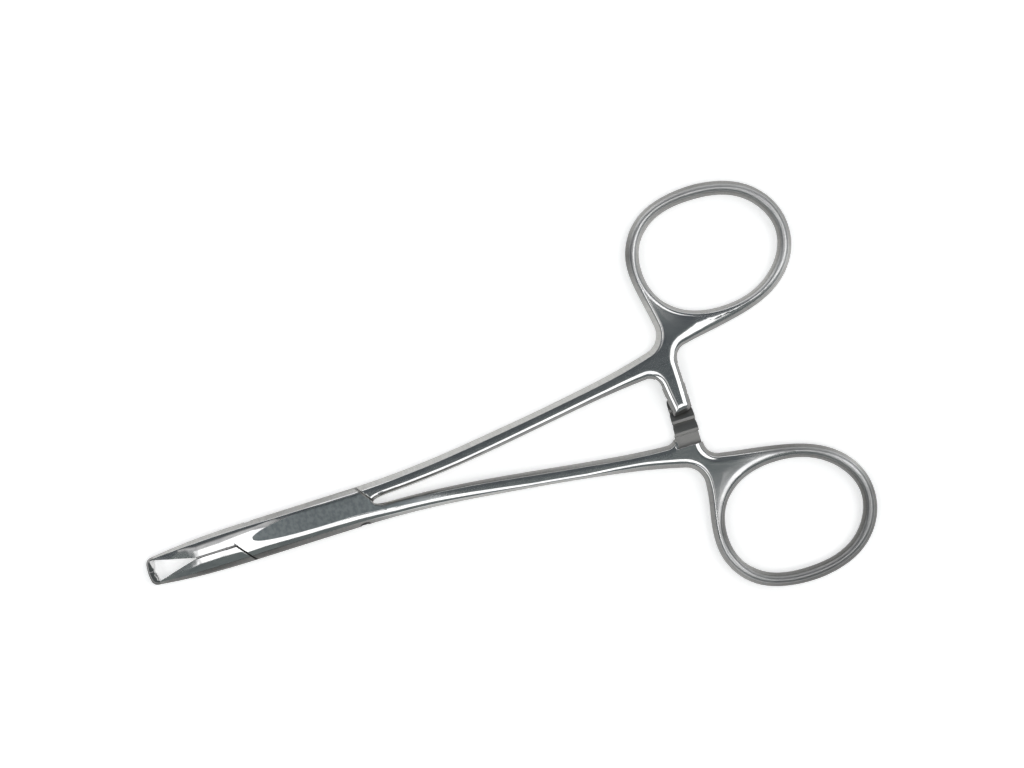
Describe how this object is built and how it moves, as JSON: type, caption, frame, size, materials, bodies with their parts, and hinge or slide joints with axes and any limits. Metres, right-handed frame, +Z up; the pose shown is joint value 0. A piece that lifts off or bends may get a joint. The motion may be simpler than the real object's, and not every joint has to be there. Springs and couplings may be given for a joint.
{
  "type": "piercing forceps",
  "caption": "Ring-handled locking forceps with a box lock, ratchet fingers and jaws whose turned-in tips frame a pointed window.",
  "frame": {"origin": "centre of the pivot, on the flat underside of the box lock that the forceps rests on", "axes": "+X towards the jaw tips, +Y towards the ring of the box arm, +Z up, out of the side with the upper ratchet finger"},
  "size_m": [0.1269, 0.0732, 0.0038],
  "materials": {
    "box_arm_steel": "polished flanks, satin cheek, blasted panel",
    "through_arm_steel": "polished flanks, satin top",
    "pin_steel": "ground flush"
  },
  "bodies": {
    "box_body": {"box_arm": "box_arm_steel", "joint_pin": "pin_steel"},
    "through_body": {"through_arm": "through_arm_steel"}
  },
  "joints": [
    {"name": "box_lock", "type": "hinge", "parent": "box_body", "child": "through_body", "pos_m": [0, 0, 0.0019], "axis": [0, 0, 1], "range_deg": [0, 50]}
  ]
}
